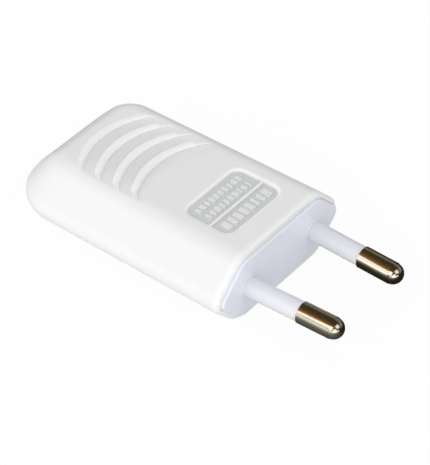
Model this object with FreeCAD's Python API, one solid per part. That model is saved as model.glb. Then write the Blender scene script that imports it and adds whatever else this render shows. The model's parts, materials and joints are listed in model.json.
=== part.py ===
import FreeCAD, Part
import math
import os

# A flat two-pin mains plug for dry indoor use, unwired, lying on its broad side.
# Millimetres. X runs across the pins, +Y from the face to the rear, +Z up.
# The origin is the middle of the engagement face, halfway between the pins.

# Housing, the outer sleeve
body_length = 47.0        # engagement face to the flat rear end
body_height = 14.2        # over the two broad sides
side_reach = 18.5         # from the middle to where two sloping sides would meet unrounded
side_draft = 0.6          # how far each narrow side closes in by the rear
side_round = 2.8          # rounding of the narrow sides, where the slopes meet
ridge_round = 5.0         # rounding between a broad side and a slope
rim_setback = 0.6         # the housing's rim lies this far behind the face
rim_round = 0.9           # rounding of the rim's outer edge
nose_run = 6.1            # length over which the rear slopes fall to the middle plane
rear_flat = 4.42          # height of the flat rear end that cuts them off
corner_round = 10.6       # rounding of the rear corners in the middle plane
corner_round_top = 3.4    # and in the planes of the broad sides
rear_round = 1.2          # edge of the flat rear end
wall = 1.6                # housing wall behind the rim
rear_wall = 2.4           # wall at the cord's end
least_round = 0.3         # smallest inner rounding

# Finger ribs on both broad sides, with hollows between them
rib_count = 4
rib_pitch = 4.04          # from one rib to the next, along the plug
rib_first = 27.05         # front foot of the first rib, from the face
rib_width = 1.4           # from a rib's front foot to its rear edge
rib_radius = 15.6         # of each curved rib at its front foot, seen from above
rib_flank = 0.3           # length of the steep front flank
rib_rear = 0.2            # and of the steep rear flank
crown_run = 0.3           # length of the gentle rounding at a rib's top
crown_drop = 0.12         # and its fall
hollow_depth = 0.45
hollow_tip = 3.3          # degrees by which a hollow tips forwards, so that it runs out at its ends
first_hollow = 4.2        # length of the hollow before the first rib
last_hollow = 1.4         # and of the shallow one behind the last

# Label panel on the upper side
label_width = 14.7
label_length = 9.5
label_middle = 10.7       # from the face
label_depth = 0.45
label_round = 1.7         # corner rounding
label_roll = 1.4          # rounding of the panel's upper edge
divider_width = 0.5       # raised line across the panel
divider_place = 0.41      # share of the panel's length, from the front
divider_height = 0.25

# Cord inlet in the rear wall
inlet_width = 7.4
inlet_height = 4.6
inlet_round = 1.2
inlet_edge = 0.3          # bevel of its mouth

# Insert, the contact carrier
face_gap = 0.05           # between the insert's face plate and the housing's rim
rim_wall = 0.95           # housing wall round the face plate
plate_depth = 3.0         # thickness of the face plate
plate_edge = 0.12         # bevel of the plate's outer edge
carrier_gap = 0.15        # between the carrier and the cavity
tower_length = 19.0       # rear end of the two pin towers, from the face
tower_inner = 5.6         # inner side of a tower, from the middle
tower_gap = 1.3           # between a tower's outer side and the cavity's rounded tip
tray_end = 36.0           # rear end of the cord tray, from the face
tray_width = 15.4
tray_thickness = 2.2
saddle_drop = 2.1         # cord rest below the pins' axes
saddle_length = 5.0

# Contact pins
pin_diameter = 4.0
pin_reach = 19.0          # tip, from the face
pin_pitch = 18.6          # between the axes at the face
tip_pitch = 17.4          # between the axes at the tips
dome_length = 1.9         # rounded end of a pin
dome_edge = 0.08          # small shoulder where the rounded end starts
stem_diameter = 2.9       # under the sleeve
head_diameter = 5.0       # clamping end inside the insert
head_start = 6.0          # from the face
head_length = 10.0
head_bevel = 0.3
wire_hole = 2.8           # bore for the wire
wire_depth = 8.0
drill_point = 0.6         # depth of the drill's point, as a share of the bore's radius
screw_place = 4.0         # clamp screw, from the head's rear end

# Insulating sleeves over the pins
sleeve_diameter = 3.65
sleeve_reach = 10.7       # outer end, from the face
bore_gap = 0.08           # round a pin in the face plate
pocket_gap = 0.15         # round a pin's head in its pocket

# Clamp screws of the pins
thread_gap = 0.05         # between a screw and its hole
pin_screw_diameter = 3.0
pin_screw_length = 3.7
pin_screw_foot = 0.5      # lower end above the pin's axis
slot_width = 0.6
slot_depth = 0.7

# Lid over the towers
lid_thickness = 1.4
lid_clear = 0.4           # between a pin's head and the lid
lid_front = 4.2           # front edge, from the face
lid_hole_gap = 0.35       # round a screw
tongue_gap = 0.1          # behind a pin's head
tongue_thickness = 1.4
tongue_foot = 1.6         # lower end above the pin's axis

# Cord clamp
clamp_place = 29.0        # middle, from the face
clamp_length = 5.0        # along the cord
clamp_thickness = 1.8
clamp_room = 0.8          # between the screw heads and the housing's wall
clamp_rib = 0.9           # rib that grips the cord
clamp_rib_width = 6.0
post_spacing = 10.8       # between the two posts
post_diameter = 4.2
clamp_screw_diameter = 2.5
clamp_screw_floor = 0.75  # left under the screws in the insert
clamp_head_diameter = 4.4
clamp_head_height = 1.3

# Snap ramps that lock the insert in the housing
snap_place = 12.5         # middle, from the face
snap_length = 2.6
snap_height = 2.4         # across, up and down
snap_bite = 0.5           # how far it reaches into the housing's wall
snap_gap = 0.15

# Worked out from the above
half_height = body_height / 2.0
nose_slope = nose_run / half_height
nose_tip = body_length + nose_slope * rear_flat / 2.0
cavity_end = body_length - rear_wall
lean = math.atan((pin_pitch - tip_pitch) / 2.0 / pin_reach)
head_end = head_start + head_length
screw_y = head_end - screw_place
cavity_half = half_height - wall
inner_half = cavity_half - carrier_gap
cavity_tip = side_reach - wall * math.sqrt(2.0) - (side_round - wall) * (math.sqrt(2.0) - 1.0)
tower_outer = cavity_tip - tower_gap
lid_seat = head_diameter / 2.0 + lid_clear
clamp_seat = cavity_half - clamp_room - clamp_head_height - clamp_thickness
clamp_screw_end = clamp_screw_floor - inner_half
hair = 1e-4               # two places closer than this are the same
far = 3.0 * body_length   # longer than anything, for cutting right through
proud = 0.1               # cutters stand this far clear of the surface
bury = 0.5                # fused pieces reach this far into each other
roll_share = 0.95         # of the room that a wall leaves for the rounding of its edge
past = 1.0                # cutters run this far past what they open


def vec(x, y, z):
    return FreeCAD.Vector(x, y, z)


def rounded_loop(corners, radii):
    """Closed wire through the corners, each one rounded with its own radius."""
    count = len(corners)
    starts = []
    ends = []
    middles = []
    for index in range(count):
        corner = corners[index]
        back = (corners[index - 1] - corner).normalize()
        ahead = (corners[(index + 1) % count] - corner).normalize()
        half_angle = back.getAngle(ahead) / 2.0
        radius = radii[index]
        tangent = radius / math.tan(half_angle)
        bisector = (back + ahead).normalize()
        sagitta = radius / math.sin(half_angle) - radius
        starts.append(corner + back * tangent)
        ends.append(corner + ahead * tangent)
        middles.append(corner + bisector * sagitta)
    edges = []
    for index in range(count):
        if radii[index] > 0:
            edges.append(Part.Arc(starts[index], middles[index], ends[index]).toShape())
        edges.append(Part.LineSegment(ends[index], starts[(index + 1) % count]).toShape())
    return Part.Wire(edges)


def rounded_rectangle(width, length, radius, z, y):
    """Flat wire of a rectangle with rounded corners, seen from above."""
    a = width / 2.0
    b = length / 2.0
    corners = [vec(a, y - b, z), vec(a, y + b, z), vec(-a, y + b, z), vec(-a, y - b, z)]
    return rounded_loop(corners, [radius] * 4)


def box(x0, x1, y0, y1, z0, z1):
    return Part.makeBox(x1 - x0, y1 - y0, z1 - z0, vec(x0, y0, z0))


def cylinder(radius, start, direction, length):
    return Part.makeCylinder(radius, length, start, direction)


def plan_outline(z, front_half, rear_half, front, rear, corner):
    """The plug seen from above at height z: closing in slightly, with rounded rear corners."""
    corners = [vec(front_half, front, z), vec(rear_half, rear, z),
               vec(-rear_half, rear, z), vec(-front_half, front, z)]
    return rounded_loop(corners, [0.0, corner, corner, 0.0])


def drafted_half(low, high):
    """Solid between two outlines: flat faces between straight edges, ruled ones between arcs."""
    faces = [Part.Face(low), Part.Face(high)]
    for lower, upper in zip(low.Edges, high.Edges):
        if isinstance(lower.Curve, Part.Line):
            ends = [lower.valueAt(lower.FirstParameter), lower.valueAt(lower.LastParameter),
                    upper.valueAt(upper.LastParameter), upper.valueAt(upper.FirstParameter)]
            faces.append(Part.Face(Part.makePolygon(ends + ends[:1])))
        else:
            faces.append(Part.makeRuledSurface(lower, upper))
    shell = Part.Shell(faces)
    shell.sewShape()
    return Part.makeSolid(shell)


def shrunk_form(inset, front, rear, sharp=False):
    """The plug's outer form with every face moved inwards by inset, between two depths.

    One half is the plan outline drawn in towards the broad side, and the other mirrors it.
    A sharp form has no rounding between its broad sides and slopes.
    """
    half = half_height - inset
    reach = side_reach - inset * math.sqrt(2.0)
    tip = nose_tip - inset * math.hypot(1.0, nose_slope)
    run = nose_slope * half
    start = front - past
    narrowing = side_draft / (nose_tip - rim_setback)
    low_start = reach - narrowing * (start - rim_setback)
    low_end = reach - narrowing * (tip - rim_setback)
    high_end = reach - half - narrowing * (tip - run - rim_setback)
    shrink = inset * math.sqrt(2.0)
    low_corner = corner_round - shrink
    high_corner = corner_round - shrink - (corner_round - corner_round_top) * half / half_height
    low = plan_outline(0.0, low_start, low_end, start, tip, low_corner)
    high = plan_outline(half, low_start - half, high_end, start, tip - run, high_corner)
    upper = drafted_half(low, high)
    form = upper.fuse(upper.mirror(vec(0, 0, 0), vec(0, 0, 1))).removeSplitter()
    form = form.cut(box(-far, far, rear, rear + far, -far, far))
    if not sharp:
        ridges = edges_at(form, lambda edge: lies_at_z(edge, half) or lies_at_z(edge, -half))
        ridges = [edge for edge in ridges if not lies_at_y(edge, rear)]
        form = form.makeFillet(max(ridge_round - inset, least_round), ridges)
    middles = edges_at(form, lambda edge: lies_at_z(edge, 0.0))
    form = form.makeFillet(max(side_round - inset, least_round), middles)
    return form.cut(box(-far, far, front - far, front, -far, far))


def edges_at(shape, test):
    return [edge for edge in shape.Edges if test(edge)]


def lies_at_y(edge, y):
    """True for an edge in the plane across the plug at depth y."""
    return all(abs(edge.valueAt(t).y - y) < hair for t in spread(edge))


def lies_at_z(edge, z):
    """True for a lengthwise or rear edge at height z."""
    flat = all(abs(edge.valueAt(t).z - z) < hair for t in spread(edge))
    runs = abs(edge.valueAt(edge.FirstParameter).y - edge.valueAt(edge.LastParameter).y)
    return flat and (runs > hair or edge.CenterOfMass.y > body_length / 2.0)


def spread(edge):
    """Three places along an edge."""
    first = edge.FirstParameter
    last = edge.LastParameter
    return [first, (first + last) / 2.0, last]


def ring_cutter(place, radius, outline):
    """Curved hollow with an outline of (distance behind place, height over the broad side).

    It is turned about the ribs' centre and tipped forwards, so that it runs out at its ends.
    """
    centre = place - radius
    tilt = math.tan(math.radians(hollow_tip))
    points = [vec(0, place + along, half_height + up + tilt * along) for along, up in outline]
    ring = Part.Face(Part.makePolygon(points + points[:1])).revolve(vec(0, centre, 0), vec(0, 0, 1), 180.0)
    ring.rotate(vec(0, centre, 0), vec(0, 0, 1), -90.0)
    ring.rotate(vec(0, place, half_height), vec(1, 0, 0), -hollow_tip)
    return ring


def hollow_cutters():
    """The hollows of the upper broad side, which leave the ribs standing."""
    over_crown = crown_run * (1.0 + proud / crown_drop)
    flank = [(0, -hollow_depth), (rib_flank, -crown_drop), (rib_flank + over_crown, proud)]
    fade = first_hollow * (1.0 + proud / hollow_depth)
    cutters = [ring_cutter(rib_first, rib_radius, [(-fade, proud)] + flank)]
    gap = rib_pitch - rib_width
    for index in range(1, rib_count):
        behind = [(-gap - over_crown, proud), (-gap, -crown_drop), (rib_rear - gap, -hollow_depth)]
        cutters.append(ring_cutter(rib_first + index * rib_pitch, rib_radius, behind + flank))
    end = rib_first + (rib_count - 1) * rib_pitch + rib_width
    last = [(-over_crown, proud), (0, -crown_drop), (last_hollow * (1.0 + proud / crown_drop), proud)]
    cutters.append(ring_cutter(end, rib_radius + rib_width, last))
    return cutters


def label_cutter():
    """Sunk label panel whose walls lean outwards as much as they rise."""
    lean_out = label_depth + proud
    floor = rounded_rectangle(label_width, label_length, label_round,
                              half_height - label_depth, label_middle)
    mouth = rounded_rectangle(label_width + 2.0 * lean_out, label_length + 2.0 * lean_out,
                              label_round + lean_out, half_height + proud, label_middle)
    return Part.makeLoft([floor, mouth], True, True)


def sink_label(form):
    """The form with the label panel, its rolled upper edge and the raised line across it."""
    sunk = form.cut(label_cutter())
    side = label_width / 2.0 + label_depth + hair
    end = label_length / 2.0 + label_depth + hair

    def is_mouth(edge):
        level = all(abs(edge.valueAt(t).z - half_height) < hair for t in spread(edge))
        middle = edge.CenterOfMass
        return level and abs(middle.x) < side and abs(middle.y - label_middle) < end
    widest = label_depth * math.sqrt(2.0) / math.tan(math.pi / 8.0)
    sunk = sunk.makeFillet(min(label_roll, roll_share * widest), edges_at(sunk, is_mouth))
    line_y = label_middle - label_length / 2.0 + divider_place * label_length
    floor = half_height - label_depth
    half_line = label_width / 2.0 + label_depth
    line = box(-half_line, half_line, line_y - divider_width / 2.0, line_y + divider_width / 2.0,
               floor - bury, floor + divider_height)
    return sunk.fuse(line)


def inlet_cutter():
    """Oval cord inlet through the rear wall, with a bevelled mouth."""
    def loop(y, grow):
        a = inlet_width / 2.0 + grow
        b = inlet_height / 2.0 + grow
        corners = [vec(a, y, b), vec(-a, y, b), vec(-a, y, -b), vec(a, y, -b)]
        return rounded_loop(corners, [inlet_round + grow] * 4)
    hole = Part.Face(loop(cavity_end - past, 0.0)).extrude(vec(0, rear_wall + 2 * past, 0))
    mouth = Part.makeLoft([loop(body_length - inlet_edge, 0.0),
                           loop(body_length + inlet_edge, 2 * inlet_edge)], True, True)
    return hole.fuse(mouth)


def snap_ramp(side, gap):
    """Wedge on a tower's side: it slides in over the wall and locks with its front face."""
    inner = tower_outer - bury
    outer = cavity_tip + snap_bite + gap
    front = snap_place - snap_length / 2.0 - gap
    rear = snap_place + snap_length / 2.0 + gap
    half = snap_height / 2.0 + gap
    profile = Part.makePolygon([vec(inner, front, -half), vec(outer, front, -half),
                                vec(outer, rear - snap_bite, -half), vec(inner, rear + snap_bite, -half),
                                vec(inner, front, -half)])
    ramp = Part.Face(profile).extrude(vec(0, 0, 2 * half))
    return ramp if side > 0 else ramp.mirror(vec(0, 0, 0), vec(1, 0, 0))


def make_housing():
    form = shrunk_form(0.0, rim_setback, body_length)
    rear = edges_at(form, lambda edge: lies_at_y(edge, body_length))
    form = form.makeFillet(rear_round, rear)
    rim = edges_at(form, lambda edge: lies_at_y(edge, rim_setback))
    form = sink_label(form.makeFillet(rim_round, rim))
    seat = shrunk_form(rim_wall, rim_setback - past, plate_depth)
    cavity = shrunk_form(wall, plate_depth - bury, cavity_end, sharp=True)
    shell = form.cut(seat).cut(cavity).cut(inlet_cutter())
    upper = hollow_cutters()
    lower = [cutter.mirror(vec(0, 0, 0), vec(0, 0, 1)) for cutter in upper]
    shell = shell.cut(upper + lower)
    return shell.cut([snap_ramp(1, snap_gap), snap_ramp(-1, snap_gap)])


def place_on_pin(shape, side):
    """Turns a shape made on the Y axis onto a pin's leaning axis."""
    moved = shape.copy()
    moved.rotate(vec(0, 0, 0), vec(0, 0, 1), -side * math.degrees(lean))
    moved.translate(vec(side * pin_pitch / 2.0, 0, 0))
    return moved


def turned(points):
    """Solid turned about the Y axis from an outline of (radius, y) points."""
    outline = Part.makePolygon([vec(r, y, 0) for r, y in points + points[:1]])
    return Part.Face(outline).revolve(vec(0, 0, 0), vec(0, 1, 0), 360.0)


def make_pin(side):
    """Turned pin: domed tip, slim stem for the sleeve, and a bored head that takes the wire."""
    radius = pin_diameter / 2.0
    stem = stem_diameter / 2.0
    head = head_diameter / 2.0
    dome_start = -pin_reach + dome_length
    dome_radius = radius - dome_edge
    ball = (dome_radius ** 2 + dome_length ** 2) / (2.0 * dome_length)
    half_turn = math.atan2(dome_radius, ball - dome_length) / 2.0
    tip = vec(0, -pin_reach, 0)
    bulge = vec(ball * math.sin(half_turn), ball - pin_reach - ball * math.cos(half_turn), 0)
    dome = Part.Arc(tip, bulge, vec(dome_radius, dome_start, 0)).toShape()
    points = [(dome_radius, dome_start), (radius, dome_start), (radius, -sleeve_reach),
              (stem, -sleeve_reach), (stem, head_start), (head - head_bevel, head_start),
              (head, head_start + head_bevel), (head, head_end - head_bevel),
              (head - head_bevel, head_end), (0, head_end), (0, -pin_reach)]
    lines = Part.makePolygon([vec(r, y, 0) for r, y in points])
    pin = Part.Face(Part.Wire([dome] + lines.Edges)).revolve(vec(0, 0, 0), vec(0, 1, 0), 360.0)
    bore = wire_hole / 2.0
    floor = head_end - wire_depth
    drill = turned([(0, head_end + past), (bore, head_end + past), (bore, floor),
                    (0, floor - bore * drill_point)])
    screw_hole = cylinder(pin_screw_diameter / 2.0, vec(0, screw_y, 0), vec(0, 0, 1), head_diameter)
    return place_on_pin(pin.cut(drill).cut(screw_hole), side)


def make_sleeve(side):
    """Plastic tube over the pin's stem, from behind the face to the bare metal."""
    outer = cylinder(sleeve_diameter / 2.0, vec(0, -sleeve_reach, 0), vec(0, 1, 0),
                     sleeve_reach + head_start)
    inner = cylinder(stem_diameter / 2.0, vec(0, -sleeve_reach, 0), vec(0, 1, 0),
                     sleeve_reach + head_start)
    return place_on_pin(outer.cut(inner), side)


def make_pin_screw(side):
    """Slotted screw without a head, standing in the pin's cross hole."""
    radius = pin_screw_diameter / 2.0 - thread_gap
    top = pin_screw_foot + pin_screw_length
    screw = cylinder(radius, vec(0, screw_y, pin_screw_foot), vec(0, 0, 1), pin_screw_length)
    slot = box(-pin_screw_diameter, pin_screw_diameter, screw_y - slot_width / 2.0,
               screw_y + slot_width / 2.0, top - slot_depth, top + past)
    return place_on_pin(screw.cut(slot), side)


def pin_pocket(side):
    """Bore and open trough that take one pin from behind."""
    bore_radius = pin_diameter / 2.0 + bore_gap
    trough = head_diameter / 2.0 + pocket_gap
    start = head_start - pocket_gap
    bore = cylinder(bore_radius, vec(0, -past, 0), vec(0, 1, 0), head_start + past)
    round_part = cylinder(trough, vec(0, start, 0), vec(0, 1, 0), far)
    open_part = box(-trough, trough, start, start + far, 0, half_height)
    return place_on_pin(bore.fuse(round_part).fuse(open_part), side)


def clamp_posts(radius, z0, z1):
    posts = []
    for side in (-1, 1):
        foot = vec(side * post_spacing / 2.0, clamp_place, z0)
        posts.append(cylinder(radius, foot, vec(0, 0, 1), z1 - z0))
    return posts


def make_insert():
    """Face plate, two pin towers and the tray that carries the cord clamp."""
    plate = shrunk_form(rim_wall + face_gap, 0.0, plate_depth)
    front = edges_at(plate, lambda edge: lies_at_y(edge, 0.0))
    plate = plate.makeChamfer(plate_edge, front)
    room = shrunk_form(wall + carrier_gap, plate_depth - bury, tray_end)
    base = -inner_half
    parts = []
    for side in (-1, 1):
        near = min(side * tower_inner, side * tower_outer)
        away = max(side * tower_inner, side * tower_outer)
        parts.append(box(near, away, plate_depth - bury, tower_length, base, lid_seat))
    tray_half = tray_width / 2.0
    parts.append(box(-tray_half, tray_half, plate_depth - bury, tray_end, base, base + tray_thickness))
    saddle_half = clamp_rib_width / 2.0
    saddle_start = clamp_place - saddle_length / 2.0
    parts.append(box(-saddle_half, saddle_half, saddle_start, saddle_start + saddle_length,
                     base, -saddle_drop))
    parts += clamp_posts(post_diameter / 2.0, base, clamp_seat)
    carrier = parts[0].fuse(parts[1:]).common(room)
    body = plate.fuse(carrier)
    body = body.fuse([snap_ramp(1, 0.0), snap_ramp(-1, 0.0)])
    holes = clamp_posts(clamp_screw_diameter / 2.0, clamp_screw_end - thread_gap, clamp_seat + past)
    return body.cut([pin_pocket(1), pin_pocket(-1)] + holes).removeSplitter()


def make_insert_cover():
    """Lid on the towers, with a tongue behind each pin's head and a hole over each screw."""
    room = shrunk_form(wall + carrier_gap, lid_front, tower_length)
    lid = box(-tower_outer, tower_outer, lid_front, tower_length, lid_seat, lid_seat + lid_thickness)
    for side in (-1, 1):
        tongue = box(-head_diameter / 2.0, head_diameter / 2.0, head_end + tongue_gap,
                     head_end + tongue_gap + tongue_thickness, tongue_foot, lid_seat)
        lid = lid.fuse(place_on_pin(tongue, side))
    lid = lid.common(room)
    for side in (-1, 1):
        hole = cylinder(pin_screw_diameter / 2.0 + lid_hole_gap, vec(0, screw_y, 0), vec(0, 0, 1), far)
        lid = lid.cut(place_on_pin(hole, side))
    return lid


def make_cord_clamp():
    """Bar with rounded ends over the cord, with a rib that grips the cord's jacket."""
    top = clamp_seat + clamp_thickness
    half = post_spacing / 2.0
    round_end = clamp_length / 2.0
    bar = box(-half, half, clamp_place - round_end, clamp_place + round_end, clamp_seat, top)
    ends = []
    for side in (-1, 1):
        foot = vec(side * half, clamp_place, clamp_seat)
        ends.append(cylinder(round_end, foot, vec(0, 0, 1), clamp_thickness))
    rib = cylinder(clamp_rib, vec(-clamp_rib_width / 2.0, clamp_place, clamp_seat), vec(1, 0, 0),
                   clamp_rib_width)
    bar = bar.fuse(ends + [rib])
    holes = clamp_posts(clamp_screw_diameter / 2.0 + thread_gap, clamp_seat - past, top + past)
    return bar.cut(holes).removeSplitter()


def make_clamp_screw(side):
    """Cheese-head screw that holds the clamp bar down on its post."""
    seat = clamp_seat + clamp_thickness
    x = side * post_spacing / 2.0
    head = cylinder(clamp_head_diameter / 2.0, vec(x, clamp_place, seat), vec(0, 0, 1), clamp_head_height)
    shank = cylinder(clamp_screw_diameter / 2.0 - thread_gap, vec(x, clamp_place, clamp_screw_end),
                     vec(0, 0, 1), seat - clamp_screw_end)
    top = seat + clamp_head_height
    slot = box(x - clamp_head_diameter, x + clamp_head_diameter, clamp_place - slot_width / 2.0,
               clamp_place + slot_width / 2.0, top - slot_depth, top + past)
    return head.fuse(shank).cut(slot).removeSplitter()


def save(name, shape):
    solid = shape.Solids[0] if len(shape.Solids) == 1 else shape
    print(name, "solids", len(shape.Solids), "valid", shape.isValid(), "volume", round(shape.Volume, 2))
    solid.exportStep("parts/" + name + ".step")


def main():
    os.makedirs("parts", exist_ok=True)
    save("housing", make_housing())
    save("insert", make_insert())
    save("insert_cover", make_insert_cover())
    save("cord_clamp", make_cord_clamp())
    for side, word in ((-1, "left"), (1, "right")):
        save("pin_" + word, make_pin(side))
        save("sleeve_" + word, make_sleeve(side))
        save("pin_screw_" + word, make_pin_screw(side))
        save("clamp_screw_" + word, make_clamp_screw(side))


main()
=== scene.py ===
import bpy
import bmesh
import json
import math
from mathutils import Matrix, Vector


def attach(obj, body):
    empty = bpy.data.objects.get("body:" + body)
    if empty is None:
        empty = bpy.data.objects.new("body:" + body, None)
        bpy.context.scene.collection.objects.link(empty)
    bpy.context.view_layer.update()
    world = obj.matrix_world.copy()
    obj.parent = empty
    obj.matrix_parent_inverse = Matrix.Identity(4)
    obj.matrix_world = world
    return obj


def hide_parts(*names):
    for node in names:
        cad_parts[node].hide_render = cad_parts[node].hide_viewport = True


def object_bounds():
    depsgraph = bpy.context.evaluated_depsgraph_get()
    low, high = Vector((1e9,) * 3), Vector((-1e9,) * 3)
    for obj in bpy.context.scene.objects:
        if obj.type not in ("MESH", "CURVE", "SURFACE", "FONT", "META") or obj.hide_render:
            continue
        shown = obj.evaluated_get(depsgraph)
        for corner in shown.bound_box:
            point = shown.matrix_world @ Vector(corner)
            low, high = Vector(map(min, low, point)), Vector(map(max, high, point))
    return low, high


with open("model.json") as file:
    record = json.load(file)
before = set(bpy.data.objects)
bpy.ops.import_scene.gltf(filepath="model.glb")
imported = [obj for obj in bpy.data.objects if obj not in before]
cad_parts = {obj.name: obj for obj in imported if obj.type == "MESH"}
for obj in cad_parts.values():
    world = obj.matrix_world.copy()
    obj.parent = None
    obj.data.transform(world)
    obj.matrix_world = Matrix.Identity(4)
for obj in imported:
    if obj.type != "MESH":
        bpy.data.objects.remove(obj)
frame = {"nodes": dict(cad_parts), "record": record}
cadBox = [list(corner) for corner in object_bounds()]
mm = 0.001
print("frame loaded:", len(frame["nodes"]), "nodes")


# camera, as the photograph was taken
view = {
    "azimuth": -54.13,          # degrees, turned about the plug's height
    "elevation": 40.83,
    "roll": 2.21,
    "distance": 411.3 * mm,
    "aimRight": -11.37 * mm,    # aim point, from the origin, to the camera's right
    "aimUp": 4.30 * mm,         # and upwards in the picture
    "lens": 186.4,
    "sensor": 36.0,             # over the picture's height
    "nearest": 0.01,            # what is closer isn't drawn
}


def makeCamera():
    turn = math.radians(view["azimuth"])
    lift = math.radians(view["elevation"])
    roll = math.radians(view["roll"])
    back = Vector((math.sin(turn) * math.cos(lift), -math.cos(turn) * math.cos(lift), math.sin(lift)))
    levelRight = Vector((math.cos(turn), math.sin(turn), 0.0))
    levelUp = back.cross(levelRight)
    right = math.cos(roll) * levelRight + math.sin(roll) * levelUp
    up = back.cross(right)
    place = view["aimRight"] * right + view["aimUp"] * up + view["distance"] * back
    data = bpy.data.cameras.new("productCamera")
    data.sensor_fit = "VERTICAL"
    data.sensor_height = view["sensor"]
    data.lens = view["lens"]
    data.clip_start = view["nearest"]
    camera = bpy.data.objects.new("productCamera", data)
    turned = Matrix((right, up, back)).transposed().to_4x4()
    camera.matrix_world = Matrix.Translation(place) @ turned
    bpy.context.scene.collection.objects.link(camera)
    bpy.context.scene.camera = camera


makeCamera()
print("camera set")


# short ways to add nodes; an input takes a value, or another node's output
def nodeOf(tree, kind, **settings):
    node = tree.nodes.new(kind)
    for name, value in settings.items():
        setattr(node, name, value)
    return node


def fed(tree, kind, inputs, **settings):
    node = nodeOf(tree, kind, **settings)
    for label, value in inputs.items():
        if isinstance(value, bpy.types.NodeSocket):
            tree.links.new(value, node.inputs[label])
        else:
            node.inputs[label].default_value = value
    return node.outputs


def mathNode(tree, operation, *values):
    return fed(tree, "ShaderNodeMath", dict(enumerate(values)), operation=operation)[0]


def vectorOf(tree, *values):
    return fed(tree, "ShaderNodeCombineXYZ", dict(enumerate(values)))[0]


def axesOf(tree, vector):
    return fed(tree, "ShaderNodeSeparateXYZ", {0: vector})


def placesOf(tree):
    return nodeOf(tree, "ShaderNodeTexCoord").outputs["Object"]


def rampOf(tree, value, start, end, low=0.0, high=1.0, kind="SMOOTHSTEP"):
    return fed(tree, "ShaderNodeMapRange", {
        "Value": value, "From Min": start, "From Max": end, "To Min": low, "To Max": high,
    }, interpolation_type=kind)["Result"]


def noiseOf(tree, vector, scale, detail=3.0):
    return fed(tree, "ShaderNodeTexNoise", {"Vector": vector, "Scale": scale, "Detail": detail})["Fac"]


def colourMix(tree, share, first, second):
    return fed(tree, "ShaderNodeMix", {"Factor": share, 6: first, 7: second}, data_type="RGBA")[2]


def shaderMix(tree, share, first, second):
    return fed(tree, "ShaderNodeMixShader", {"Fac": share, 1: first, 2: second})[0]


def opaque(colour):
    return tuple(colour) + (1.0,)


# studio: a white sweep, even light from all round, and lamp panels mostly on the plug's left
studio = {
    "floorDrop": 0.12 * mm,      # below the solids, for the ribs of the underside
    "floorReach": 3.0,           # metres from the plug to the sweep's wall
    "wallHeight": 0.7,
    "wallSides": 48,
    "floorTone": 0.96,
    "whiteSeen": 0.94,           # share of plain white in what the camera sees of the sweep
    "surround": 0.72,            # grey of the light from all round
}
paintedReflections = {                     # painted reflections: what gloss and glass see instead
    "sweep": 0.9,                # on the left,
    "sweepFades": (-0.10, 0.006),              # between these places across the plug
    "floor": (0.022, 0.02, 0.011),             # to this painted shadow tone under it and on the right
    "horizon": (0.05, 0.04, 0.025),            # the surround low down,
    "shade": (0.34, 0.16, 0.03),               # above the panels,
    "zenith": (0.045, 0.032, 0.014),           # overhead,
    "right": (0.19, 0.175, 0.14),              # and on the right
    "horizonTo": 0.55,           # heights of the direction at which each tone gives way
    "shadeAt": 0.62,
    "zenithFrom": 0.96,
    "rightLean": 1.1,            # a direction to the right counts as higher, so that it stays dark
    "rightFrom": (0.6, 0.7),     # between these, the right's own tone comes in
}
plain = (1.0, 1.0, 1.0)
lamps = {                        # all aimed at the origin; the strip warms the pins
    "leftPanel": {"place": (-0.62, 0.0, 0.39), "size": (0.45, 0.45), "power": 1.07, "colour": plain},
    "leftFront": {"place": (-0.525, -0.525, 0.15), "size": (0.45, 0.45), "power": 0.81, "colour": plain},
    "leftRear": {"place": (-0.525, 0.45, 0.26), "size": (0.5, 0.52), "power": 0.95, "colour": plain},
    "frontHigh": {"place": (0.0, -0.525, 0.525), "size": (0.45, 0.45), "power": 0.60, "colour": plain},
    "rightFront": {"place": (0.525, -0.45, 0.30), "size": (0.45, 0.45), "power": 0.08, "colour": plain},
    "warmStrip": {"place": (-0.52, 0.30, 0.66), "size": (0.9, 0.12), "power": 0.03, "colour": (1.0, 0.48, 0.06)},
}


def makeSweepPaper():
    material = bpy.data.materials.new("sweepPaper")
    material.use_nodes = True
    tree = material.node_tree
    tree.nodes.clear()
    rays = nodeOf(tree, "ShaderNodeLightPath").outputs
    paper = fed(tree, "ShaderNodeBsdfDiffuse", {"Color": opaque([studio["floorTone"]] * 3)})[0]
    white = nodeOf(tree, "ShaderNodeEmission").outputs[0]
    whiteShare = mathNode(tree, "MULTIPLY", rays["Is Camera Ray"], studio["whiteSeen"])
    # gloss sees the sweep with a painted shadow: white on the left, dark under the plug and on its right
    fade = rampOf(tree, axesOf(tree, placesOf(tree))["X"], *paintedReflections["sweepFades"])
    tone = colourMix(tree, fade, opaque([paintedReflections["sweep"]] * 3), opaque(paintedReflections["floor"]))
    glossTone = fed(tree, "ShaderNodeEmission", {"Color": tone})[0]
    glossShare = mathNode(tree, "MAXIMUM", rays["Is Glossy Ray"], rays["Is Transmission Ray"])
    seen = shaderMix(tree, glossShare, shaderMix(tree, whiteShare, paper, white), glossTone)
    fed(tree, "ShaderNodeOutputMaterial", {"Surface": seen})
    return material


def makeSweep():
    low = cadBox[0][2] - studio["floorDrop"]
    work = bmesh.new()
    ring = []
    for index in range(studio["wallSides"]):
        angle = 2.0 * math.pi * index / studio["wallSides"]
        x = studio["floorReach"] * math.cos(angle)
        y = studio["floorReach"] * math.sin(angle)
        ring.append((work.verts.new((x, y, low)), work.verts.new((x, y, low + studio["wallHeight"]))))
    work.faces.new([foot for foot, top in ring])
    for index, (foot, top) in enumerate(ring):
        nextFoot, nextTop = ring[(index + 1) % len(ring)]
        work.faces.new((nextFoot, foot, top, nextTop))
    mesh = bpy.data.meshes.new("sweep")
    work.to_mesh(mesh)
    work.free()
    sweep = bpy.data.objects.new("sweep", mesh)
    sweep.data.materials.append(makeSweepPaper())
    bpy.context.scene.collection.objects.link(sweep)


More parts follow.
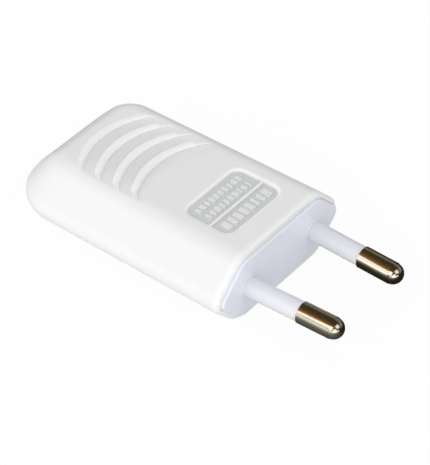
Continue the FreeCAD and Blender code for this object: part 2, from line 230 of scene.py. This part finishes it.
def makeSurround():
    world = bpy.data.worlds.new("studioAir")
    bpy.context.scene.world = world
    world.use_nodes = True
    tree = world.node_tree
    rays = nodeOf(tree, "ShaderNodeLightPath").outputs
    way = axesOf(tree, nodeOf(tree, "ShaderNodeTexCoord").outputs["Generated"])
    rightward = mathNode(tree, "MAXIMUM", way["X"], 0.0)
    height = mathNode(tree, "MULTIPLY_ADD", rightward, paintedReflections["rightLean"], way["Z"])
    ramp = nodeOf(tree, "ShaderNodeValToRGB")
    horizon, zenith = ramp.color_ramp.elements
    horizon.position, horizon.color = paintedReflections["horizonTo"], opaque(paintedReflections["horizon"])
    zenith.position, zenith.color = paintedReflections["zenithFrom"], opaque(paintedReflections["zenith"])
    ramp.color_ramp.elements.new(paintedReflections["shadeAt"]).color = opaque(paintedReflections["shade"])
    tree.links.new(height, ramp.inputs["Fac"])
    rightShare = rampOf(tree, way["X"], *paintedReflections["rightFrom"])
    tone = colourMix(tree, rightShare, ramp.outputs["Color"], opaque(paintedReflections["right"]))
    # gloss sees the painted reflection tones; all other rays see the even grey surround
    tone = colourMix(tree, rays["Is Glossy Ray"], opaque([studio["surround"]] * 3), tone)
    tree.links.new(tone, tree.nodes["Background"].inputs["Color"])


def makeLamp(name, settings):
    data = bpy.data.lights.new(name, "AREA")
    data.shape = "RECTANGLE"
    data.size, data.size_y = settings["size"]
    data.energy = settings["power"]
    data.color = settings["colour"]
    lamp = bpy.data.objects.new(name, data)
    lamp.location = settings["place"]
    way = Vector((0.0, 0.0, 0.0)) - Vector(settings["place"])
    lamp.rotation_euler = way.to_track_quat("-Z", "Y").to_euler()
    bpy.context.scene.collection.objects.link(lamp)


makeSweep()
makeSurround()
for lampName, lampSettings in lamps.items():
    makeLamp(lampName, lampSettings)
bpy.context.scene.view_settings.view_transform = "Standard"
print("studio set")


# shared effects
def newGroup(name, takes, gives):
    group = bpy.data.node_groups.new(name, "ShaderNodeTree")
    for label, value in takes.items():
        kind = "NodeSocketColor" if isinstance(value, tuple) else "NodeSocketFloat"
        group.interface.new_socket(name=label, in_out="INPUT", socket_type=kind).default_value = value
    for label, kind in gives.items():
        group.interface.new_socket(name=label, in_out="OUTPUT", socket_type=kind)
    return group, nodeOf(group, "NodeGroupInput").outputs, nodeOf(group, "NodeGroupOutput").inputs


def makeMouldedSkin():
    group, takes, gives = newGroup("mouldedSkin", {
        "Colour": (0.8, 0.8, 0.8, 1.0), "Flow Tint": (0.78, 0.78, 0.76, 1.0), "Flow Scale": 70.0,
        "Flow Share": 0.3, "Grain Scale": 3500.0, "Roughness": 0.45, "Roughness Spread": 0.08,
    }, {"Colour": "NodeSocketColor", "Roughness": "NodeSocketFloat", "Height": "NodeSocketFloat"})
    places = placesOf(group)
    flow = noiseOf(group, places, takes["Flow Scale"], detail=2.0)
    grain = noiseOf(group, places, takes["Grain Scale"])
    share = mathNode(group, "MULTIPLY", flow, takes["Flow Share"])
    swing = mathNode(group, "MULTIPLY", mathNode(group, "SUBTRACT", grain, 0.5), takes["Roughness Spread"])
    group.links.new(colourMix(group, share, takes["Colour"], takes["Flow Tint"]), gives["Colour"])
    group.links.new(mathNode(group, "ADD", swing, takes["Roughness"]), gives["Roughness"])
    group.links.new(grain, gives["Height"])
    return group


shadeAndHighlightShape = {                    # painted shade in hollows and painted highlight on edges; depths below the broad side, as shares of the full depth
    "shadeDepths": (0.45, 1.0),      # from no painted shade to full painted shade
    "highlightStarts": (0.01, 0.2),               # the painted highlight on the panel's edge comes in
    "rubbedEnds": (0.3, 0.6),                  # and goes out again
    "sideFade": 0.75,            # share of the half width from which the painted shade and highlight thin out
    "rimFade": 0.6,              # and of the rim's length
    "patchScale": 900.0,
    "patchSwing": 0.5,
    "patchLeast": 0.75,
}


def makePaintedShadeAndHighlight():
    group, takes, gives = newGroup("paintedShadeAndHighlight", {
        "Plane": 7.1 * mm, "Depth": 0.4 * mm, "Half Width": 9.0 * mm, "Panel End": 18.0 * mm,
        "Amount Panel": 1.0, "Amount Ribs": 0.7, "Rim": 2.2 * mm, "Rim Share": 0.5,
    }, {"Mask": "NodeSocketFloat", "Painted Highlight": "NodeSocketFloat"})
    places = placesOf(group)
    axes = axesOf(group, places)
    below = mathNode(group, "SUBTRACT", takes["Plane"], mathNode(group, "ABSOLUTE", axes["Z"]))
    sunk = mathNode(group, "DIVIDE", below, takes["Depth"])
    inner = mathNode(group, "MULTIPLY", takes["Half Width"], shadeAndHighlightShape["sideFade"])
    inside = rampOf(group, mathNode(group, "ABSOLUTE", axes["X"]), inner, takes["Half Width"], 1.0, 0.0)
    patches = noiseOf(group, places, shadeAndHighlightShape["patchScale"])
    patches = mathNode(group, "MULTIPLY_ADD", patches, shadeAndHighlightShape["patchSwing"], shadeAndHighlightShape["patchLeast"])
    rear = mathNode(group, "GREATER_THAN", axes["Y"], takes["Panel End"])
    amount = fed(group, "ShaderNodeMix", {
        "Factor": rear, "A": takes["Amount Panel"], "B": takes["Amount Ribs"]}, data_type="FLOAT")[0]
    # painted shade: darker the deeper a point lies below the broad side, in random patches
    mask = rampOf(group, sunk, *shadeAndHighlightShape["shadeDepths"])
    for share in (inside, amount, patches):
        mask = mathNode(group, "MULTIPLY", mask, share)
    group.links.new(mask, gives["Mask"])
    # painted highlight on the panel's edge, just below the broad side
    edge = rampOf(group, sunk, *shadeAndHighlightShape["highlightStarts"])
    panelOnly = mathNode(group, "SUBTRACT", 1.0, rear)
    for share in (rampOf(group, sunk, *shadeAndHighlightShape["rubbedEnds"], 1.0, 0.0), inside, panelOnly):
        edge = mathNode(group, "MULTIPLY", edge, share)
    # painted highlight along the front rim
    rimFrom = mathNode(group, "MULTIPLY", takes["Rim"], shadeAndHighlightShape["rimFade"])
    rim = rampOf(group, axes["Y"], rimFrom, takes["Rim"], 1.0, 0.0)
    edge = mathNode(group, "MAXIMUM", edge, mathNode(group, "MULTIPLY", rim, takes["Rim Share"]))
    group.links.new(edge, gives["Painted Highlight"])
    return group


mouldedSkin = makeMouldedSkin()
paintedShadeAndHighlight = makePaintedShadeAndHighlight()


def makePlastic(name, settings):
    material = bpy.data.materials.new(name)
    material.use_nodes = True
    tree = material.node_tree
    shader = tree.nodes["Principled BSDF"]
    skin = fed(tree, "ShaderNodeGroup", {
        "Colour": opaque(settings["colour"]), "Flow Tint": opaque(settings["flowTint"]),
        "Flow Scale": settings["flowScale"], "Flow Share": settings["flowShare"],
        "Grain Scale": settings["grainScale"], "Roughness": settings["roughness"],
        "Roughness Spread": settings["roughnessSpread"]}, node_tree=mouldedSkin)
    bump = fed(tree, "ShaderNodeBump", {
        "Strength": settings["grainStrength"], "Distance": settings["grainDepth"], "Height": skin["Height"]})
    colour = skin["Colour"]
    # painted shade in the hollows, and a painted highlight on the panel's edge and the rim
    if settings.get("shadeAndHighlight"):
        shadeAndHighlight = fed(tree, "ShaderNodeGroup", settings["shadeAndHighlight"], node_tree=paintedShadeAndHighlight)
        colour = colourMix(tree, shadeAndHighlight["Mask"], colour, opaque(settings["paintedShadeColour"]))
        colour = colourMix(tree, shadeAndHighlight["Painted Highlight"], colour, opaque(settings["paintedHighlightColour"]))
    # a rib's painted highlight fades into the housing's colour towards its ends
    if settings.get("ends"):
        outwards = mathNode(tree, "ABSOLUTE", axesOf(tree, placesOf(tree))["X"])
        share = rampOf(tree, outwards, *settings["ends"])
        colour = colourMix(tree, share, colour, opaque(settings["endColour"]))
    tree.links.new(colour, shader.inputs["Base Color"])
    tree.links.new(skin["Roughness"], shader.inputs["Roughness"])
    tree.links.new(bump["Normal"], shader.inputs["Normal"])
    shader.inputs["IOR"].default_value = settings["ior"]
    return material


housingPlastic = {
    "colour": (0.81, 0.815, 0.82), "flowTint": (0.79, 0.79, 0.785), "flowScale": 60.0, "flowShare": 0.4,
    "grainScale": 3500.0, "grainStrength": 0.35, "grainDepth": 0.02 * mm,
    "roughness": 0.5, "roughnessSpread": 0.1, "ior": 1.5,
    "shadeAndHighlight": {"Plane": 7.1 * mm, "Depth": 0.45 * mm, "Half Width": 10.0 * mm, "Panel End": 18.0 * mm,
             "Amount Panel": 1.0, "Amount Ribs": 0.4, "Rim": 2.2 * mm, "Rim Share": 0.5},
    "paintedShadeColour": (0.63, 0.64, 0.65),       # painted shade in the panel and the hollows between the ribs
    "paintedHighlightColour": (0.91, 0.915, 0.92),    # painted highlight on the panel's edge and at the rim
}
markPlastic = {
    **housingPlastic,
    "colour": (0.77, 0.78, 0.785), "flowTint": (0.74, 0.75, 0.76), "shadeAndHighlight": None,
}
# a lighter copy of the housing plastic: a painted highlight for the ribs' lit crests
ribPlasticPaintedHighlight = {
    **housingPlastic,
    "colour": (0.90, 0.905, 0.91), "flowTint": (0.88, 0.88, 0.88), "grainStrength": 0.2, "roughness": 0.42,
    "shadeAndHighlight": None,
    "ends": (7.5 * mm, 10.2 * mm),          # between these places across the plug, a rib's painted highlight
    "endColour": (0.81, 0.815, 0.82),       # fades into the housing's colour
}
insertPlastic = {
    "colour": (0.80, 0.82, 0.91), "flowTint": (0.78, 0.79, 0.88), "flowScale": 90.0, "flowShare": 0.4,
    "grainScale": 4500.0, "grainStrength": 0.2, "grainDepth": 0.01 * mm,
    "roughness": 0.42, "roughnessSpread": 0.08, "ior": 1.5,
}
sleevePlastic = {
    "colour": (0.74, 0.75, 0.79), "flowTint": (0.71, 0.72, 0.76), "flowScale": 200.0, "flowShare": 0.3,
    "grainScale": 5000.0, "grainStrength": 0.1, "grainDepth": 0.01 * mm,
    "roughness": 0.3, "roughnessSpread": 0.06, "ior": 1.5,
}


def makeMetal(name, settings):
    material = bpy.data.materials.new(name)
    material.use_nodes = True
    tree = material.node_tree
    shader = tree.nodes["Principled BSDF"]
    shader.inputs["Metallic"].default_value = 1.0
    stretch = fed(tree, "ShaderNodeMapping", {"Scale": settings["lineStretch"], "Vector": placesOf(tree)})[0]
    lines = noiseOf(tree, stretch, settings["lineScale"])
    rough = mathNode(tree, "MULTIPLY", lines, settings["roughnessSpread"])
    rough = mathNode(tree, "ADD", rough, settings["roughness"])
    bump = fed(tree, "ShaderNodeBump", {
        "Strength": settings["lineStrength"], "Distance": settings["lineDepth"], "Height": lines})
    tint = colourMix(tree, lines, opaque(settings["colour"]), opaque(settings["tint"]))
    tree.links.new(tint, shader.inputs["Base Color"])
    tree.links.new(rough, shader.inputs["Roughness"])
    tree.links.new(bump["Normal"], shader.inputs["Normal"])
    return material


pinMetal = {
    "colour": (0.78, 0.73, 0.62), "tint": (0.74, 0.67, 0.52),
    "lineStretch": (1.0, 0.1, 1.0), "lineScale": 2500.0, "lineStrength": 0.1, "lineDepth": 0.005 * mm,
    "roughness": 0.12, "roughnessSpread": 0.06,
}
screwSteel = {
    "colour": (0.62, 0.62, 0.60), "tint": (0.55, 0.55, 0.52),
    "lineStretch": (1.0, 1.0, 0.2), "lineScale": 3000.0, "lineStrength": 0.2, "lineDepth": 0.01 * mm,
    "roughness": 0.3, "roughnessSpread": 0.15,
}

finishes = {
    "housing_plastic": makePlastic("housingPlastic", housingPlastic),
    "insert_plastic": makePlastic("insertPlastic", insertPlastic),
    "sleeve_plastic": makePlastic("sleevePlastic", sleevePlastic),
    "pin_metal": makeMetal("pinMetal", pinMetal),
    "screw_steel": makeMetal("screwSteel", screwSteel),
}
print("finishes made")


# each CAD piece gets a merged copy with even shading
smoothing = {
    "merge": 0.0005 * mm,
    "sharpAngle": 28.0,           # degrees; a sharper edge stays an edge
    "sharpAngleRound": 50.0,      # the same on the pins
}
pinTip = {                        # measured from the middle of a pin's contact
    "least": 1.85 * mm,           # the pin's surface lies between these two
    "most": 2.05 * mm,
    "domeAhead": 3.18 * mm,       # middle of the dome, towards the tip
    "bareBehind": 3.0 * mm,       # bare metal, towards the sleeve
}
mounts = {mount["name"]: mount for mount in frame["record"]["mounts"]}
slots = {sub["node"]: sub["material_slot"] for sub in frame["record"]["subparts"]}


def roundTipNormals(mesh, mount):
    middle = Vector(mount["pos_m"])
    axis = Vector(mount["axis"]).normalized()
    normals = [Vector(corner.vector) for corner in mesh.corner_normals]
    for loop in mesh.loops:
        apart = mesh.vertices[loop.vertex_index].co - middle
        along = apart.dot(axis)
        if along < -pinTip["bareBehind"]:
            continue
        around = apart - min(along, pinTip["domeAhead"]) * axis
        if pinTip["least"] < around.length < pinTip["most"]:
            normals[loop.index] = around.normalized()
    mesh.normals_split_custom_set(normals)


# what the modifier makes becomes the piece's own mesh
def plainMesh(piece, modifier, name):
    bpy.context.view_layer.update()
    mesh = bpy.data.meshes.new_from_object(piece.evaluated_get(bpy.context.evaluated_depsgraph_get()))
    piece.modifiers.remove(modifier)
    piece.data = mesh
    mesh.name = name
    return mesh


def refinedCopy(nodeName, pieceName, slotName):
    mesh = frame["nodes"][nodeName].data.copy()
    work = bmesh.new()
    work.from_mesh(mesh)
    bmesh.ops.remove_doubles(work, verts=work.verts, dist=smoothing["merge"])
    limit = math.radians(smoothing["sharpAngleRound" if slotName == "pin_metal" else "sharpAngle"])
    for face in work.faces:
        face.smooth = True
    for edge in work.edges:
        edge.smooth = len(edge.link_faces) == 2 and edge.calc_face_angle(0.0) < limit
    work.to_mesh(mesh)
    work.free()
    mesh.materials.clear()
    mesh.materials.append(finishes[slotName])
    piece = bpy.data.objects.new(pieceName, mesh)
    bpy.context.scene.collection.objects.link(piece)
    weigh = piece.modifiers.new("evenShading", "WEIGHTED_NORMAL")
    weigh.keep_sharp = True
    weigh.weight = 100
    shaded = plainMesh(piece, weigh, pieceName)
    mount = mounts.get(nodeName + "_contact")
    if mount:
        roundTipNormals(shaded, mount)
    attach(piece, "root")
    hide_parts(nodeName)


for nodeName, slotName in slots.items():
    refinedCopy(nodeName, nodeName + "_finished", slotName)
print("pieces refined:", len(slots))


# what repeats is grown by geometry nodes
def newTree(name, inputs):
    tree = bpy.data.node_groups.new(name, "GeometryNodeTree")
    for kind, labels in inputs.items():
        for label in labels:
            tree.interface.new_socket(name=label, in_out="INPUT", socket_type=kind)
    tree.interface.new_socket(name="Geometry", in_out="OUTPUT", socket_type="NodeSocketGeometry")
    return tree, nodeOf(tree, "NodeGroupInput").outputs, nodeOf(tree, "NodeGroupOutput").inputs["Geometry"]


def joined(tree, *parts):
    join = nodeOf(tree, "GeometryNodeJoinGeometry")
    for part in parts:
        tree.links.new(part, join.inputs[0])
    return join.outputs[0]


def endTree(tree, geometry, finish, out):
    loose = fed(tree, "GeometryNodeRealizeInstances", {0: geometry})[0]
    finished = fed(tree, "GeometryNodeSetMaterial", {"Geometry": loose, "Material": finish})[0]
    tree.links.new(finished, out)
    return tree


def grow(pieceName, tree, values):
    piece = bpy.data.objects.new(pieceName, bpy.data.meshes.new(pieceName))
    bpy.context.scene.collection.objects.link(piece)
    modifier = piece.modifiers.new(tree.name, "NODES")
    modifier.node_group = tree
    sockets = {item.name: item.identifier for item in tree.interface.items_tree if item.in_out == "INPUT"}
    for label, value in values.items():
        modifier[sockets[label]] = value
    mesh = plainMesh(piece, modifier, pieceName)
    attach(piece, "root")
    print("grown:", pieceName, len(mesh.polygons), "faces")


# plain blocks on the panel, of uneven width
panelMarks = {
    "front": {"Count": 8, "Seed": 3, "Start": (-5.6 * mm, 7.75 * mm, 6.6 * mm),
              "Step": 1.6 * mm, "Tall": 2.0 * mm},
    "middle": {"Count": 10, "Seed": 8, "Start": (-5.7 * mm, 11.55 * mm, 6.6 * mm),
               "Step": 1.25 * mm, "Tall": 1.35 * mm},
    "rear": {"Count": 10, "Seed": 5, "Start": (-5.7 * mm, 13.75 * mm, 6.6 * mm),
             "Step": 1.25 * mm, "Tall": 1.35 * mm},
}
markShape = {
    "Narrowest": 0.3,           # as a share of the widest block
    "Thick": 0.28 * mm,
    "Corner": 0.22 * mm,
}
markMesh = {
    "fill": 0.8,                # the widest block's share of a step
    "cornerSteps": 4,
    "merge": 0.001 * mm,
}


def makeMarkTree():
    tree, put, out = newTree("panelMarks", {
        "NodeSocketInt": ("Count", "Seed"), "NodeSocketVector": ("Start",),
        "NodeSocketFloat": ("Step", "Tall", "Narrowest", "Thick", "Corner"), "NodeSocketMaterial": ("Finish",)})
    row = fed(tree, "GeometryNodeMeshLine", {
        "Count": put["Count"], "Start Location": put["Start"], "Offset": vectorOf(tree, put["Step"], 0.0, 0.0)})[0]
    outline = fed(tree, "GeometryNodeCurvePrimitiveQuadrilateral", {
        "Width": mathNode(tree, "MULTIPLY", put["Step"], markMesh["fill"]), "Height": put["Tall"],
    }, mode="RECTANGLE")[0]
    rounded = fed(tree, "GeometryNodeFilletCurve", {
        "Curve": outline, "Count": markMesh["cornerSteps"], "Radius": put["Corner"]}, mode="POLY")[0]
    plate = fed(tree, "GeometryNodeFillCurve", {"Curve": rounded})[0]
    block = fed(tree, "GeometryNodeExtrudeMesh", {"Mesh": plate, "Offset Scale": put["Thick"]})[0]
    base = fed(tree, "GeometryNodeFlipFaces", {"Mesh": plate})[0]
    shut = fed(tree, "GeometryNodeMergeByDistance", {
        "Geometry": joined(tree, block, base), "Distance": markMesh["merge"]})[0]
    width = fed(tree, "FunctionNodeRandomValue", {
        2: put["Narrowest"], 3: 1.0, "Seed": put["Seed"]}, data_type="FLOAT")[1]
    copies = fed(tree, "GeometryNodeInstanceOnPoints", {
        "Points": row, "Instance": shut, "Scale": vectorOf(tree, width, 1.0, 1.0)})[0]
    return endTree(tree, copies, put["Finish"], out)


markTree = makeMarkTree()
markFinish = makePlastic("markPlastic", markPlastic)
for rowName, rowSettings in panelMarks.items():
    grow("panel_marks_" + rowName, markTree, {**rowSettings, **markShape, "Finish": markFinish})


# soft curved ribs laid on both broad sides
ribs = {
    "Count": 4,
    "Pitch": 4.04 * mm,
    "First": 27.78 * mm,        # middle of the first rib, from the face
    "Radius": 16.3 * mm,
    "Reach": 10.9 * mm,         # half of a rib's length across the plug
    "Foot": 2.35 * mm,          # width where it meets the hollows
    "Crest": 1.0 * mm,
    "Rise": 0.12 * mm,          # over the broad side
    "Sink": 0.55 * mm,
    "Softness": 0.2 * mm,
    "Ends": 0.8,                # width at the ends, as a share
    "Dive": 0.16 * mm,          # by which the ends sink in
}
ribMesh = {
    "samples": 72,              # along a rib
    "cornerSteps": 4,
    "narrowedAt": 0.86,         # share of the reach at which a rib has its end width
    "tipFrom": 0.87,            # and from which its tip shrinks and sinks
    "tipWidth": 0.3,
    "castFrom": 50.0 * mm,      # height from which it is laid on the housing
}


def makeRibTree():
    tree, put, out = newTree("gripRibs", {
        "NodeSocketInt": ("Count",),
        "NodeSocketFloat": ("Pitch", "First", "Radius", "Reach", "Foot", "Crest", "Rise", "Sink", "Softness",
                            "Ends", "Dive"),
        "NodeSocketObject": ("Body",), "NodeSocketMaterial": ("Finish",)})
    starts = fed(tree, "GeometryNodeMeshLine", {
        "Count": put["Count"], "Start Location": vectorOf(tree, 0.0, put["First"], 0.0),
        "Offset": vectorOf(tree, 0.0, put["Pitch"], 0.0)})[0]
    line = fed(tree, "GeometryNodeCurvePrimitiveLine", {
        "Start": vectorOf(tree, mathNode(tree, "MULTIPLY", put["Reach"], -1.0), 0.0, 0.0),
        "End": vectorOf(tree, put["Reach"], 0.0, 0.0)})[0]
    fine = fed(tree, "GeometryNodeResampleCurve", {"Curve": line, "Count": ribMesh["samples"]})[0]
    copies = fed(tree, "GeometryNodeInstanceOnPoints", {"Points": starts, "Instance": fine})[0]
    lines = fed(tree, "GeometryNodeRealizeInstances", {0: copies})[0]
    place = axesOf(tree, nodeOf(tree, "GeometryNodeInputPosition").outputs[0])

    # bent to the ribs' radius and dropped onto the housing, with the ends sunk in
    inner = mathNode(tree, "SUBTRACT", mathNode(tree, "MULTIPLY", put["Radius"], put["Radius"]),
                     mathNode(tree, "MULTIPLY", place["X"], place["X"]))
    bow = mathNode(tree, "SUBTRACT", mathNode(tree, "SQRT", inner), put["Radius"])
    body = fed(tree, "GeometryNodeObjectInfo", {"Object": put["Body"]})["Geometry"]
    onBody = fed(tree, "GeometryNodeRaycast", {
        "Target Geometry": body, "Ray Direction": (0.0, 0.0, -1.0),
        "Source Position": vectorOf(tree, place["X"], mathNode(tree, "ADD", place["Y"], bow), ribMesh["castFrom"]),
    })["Hit Position"]
    share = mathNode(tree, "DIVIDE", mathNode(tree, "ABSOLUTE", place["X"]), put["Reach"])
    depth = mathNode(tree, "MULTIPLY", put["Dive"], -1.0)
    dive = rampOf(tree, share, ribMesh["tipFrom"], 1.0, 0.0, depth)
    bent = fed(tree, "GeometryNodeSetPosition", {
        "Geometry": lines, "Position": onBody, "Offset": vectorOf(tree, 0.0, 0.0, dive)})[0]
    narrow = rampOf(tree, share, 0.0, ribMesh["narrowedAt"], 1.0, put["Ends"], kind="LINEAR")
    tip = rampOf(tree, share, ribMesh["tipFrom"], 1.0, 1.0, ribMesh["tipWidth"])
    sized = fed(tree, "GeometryNodeSetCurveRadius", {
        0: bent, "Radius": mathNode(tree, "MULTIPLY", narrow, tip)})[0]
    upright = fed(tree, "GeometryNodeSetCurveNormal", {0: sized}, mode="Z_UP")[0]

    # one section, swept along each rib, and the same on the underside
    section = fed(tree, "GeometryNodeCurvePrimitiveQuadrilateral", {
        "Height": mathNode(tree, "ADD", put["Rise"], put["Sink"]), "Bottom Width": put["Foot"],
        "Top Width": put["Crest"], "Offset": 0.0}, mode="TRAPEZOID")[0]
    soft = fed(tree, "GeometryNodeFilletCurve", {
        "Curve": section, "Count": ribMesh["cornerSteps"], "Radius": put["Softness"]}, mode="POLY")[0]
    middle = mathNode(tree, "MULTIPLY", mathNode(tree, "SUBTRACT", put["Sink"], put["Rise"]), 0.5)
    lifted = fed(tree, "GeometryNodeTransform", {
        "Geometry": soft, "Rotation": (0.0, 0.0, math.pi), "Translation": vectorOf(tree, 0.0, middle, 0.0)})[0]
    radius = nodeOf(tree, "GeometryNodeInputRadius").outputs[0]
    swept = fed(tree, "GeometryNodeCurveToMesh", {
        "Curve": upright, "Profile Curve": lifted, "Scale": radius, "Fill Caps": True})[0]
    under = fed(tree, "GeometryNodeTransform", {"Geometry": swept, "Rotation": (0.0, math.pi, 0.0)})[0]
    smooth = fed(tree, "GeometryNodeSetShadeSmooth", {"Geometry": joined(tree, swept, under)})[0]
    return endTree(tree, smooth, put["Finish"], out)


ribFinish = makePlastic("ribPlasticPaintedHighlight", ribPlasticPaintedHighlight)
grow("grip_ribs", makeRibTree(), {**ribs, "Body": frame["nodes"]["housing"], "Finish": ribFinish})


# a bead round the root of each sleeve
seats = {
    "Across": 9.3 * mm,         # from the middle to each sleeve's axis
    "Round": 1.94 * mm,         # radius of the bead's ring
    "Thick": 0.17 * mm,         # and of its section
}
seatSides = {"Round": 64, "Thick": 12}


def makeSeatTree():
    tree, put, out = newTree("sleeveSeats", {
        "NodeSocketFloat": ("Across", "Round", "Thick"), "NodeSocketMaterial": ("Finish",)})
    pair = fed(tree, "GeometryNodeMeshLine", {
        "Count": 2, "Start Location": vectorOf(tree, mathNode(tree, "MULTIPLY", put["Across"], -1.0), 0.0, 0.0),
        "Offset": vectorOf(tree, mathNode(tree, "MULTIPLY", put["Across"], 2.0), 0.0, 0.0)})[0]
    ring, section = [fed(tree, "GeometryNodeCurvePrimitiveCircle", {"Resolution": sides, "Radius": put[label]})[0]
                     for label, sides in seatSides.items()]
    bead = fed(tree, "GeometryNodeCurveToMesh", {"Curve": ring, "Profile Curve": section})[0]
    smooth = fed(tree, "GeometryNodeSetShadeSmooth", {"Geometry": bead})[0]
    facing = fed(tree, "GeometryNodeTransform", {"Geometry": smooth, "Rotation": (math.pi / 2.0, 0.0, 0.0)})[0]
    copies = fed(tree, "GeometryNodeInstanceOnPoints", {"Points": pair, "Instance": facing})[0]
    return endTree(tree, copies, put["Finish"], out)


grow("sleeve_seats", makeSeatTree(), {**seats, "Finish": finishes["insert_plastic"]})
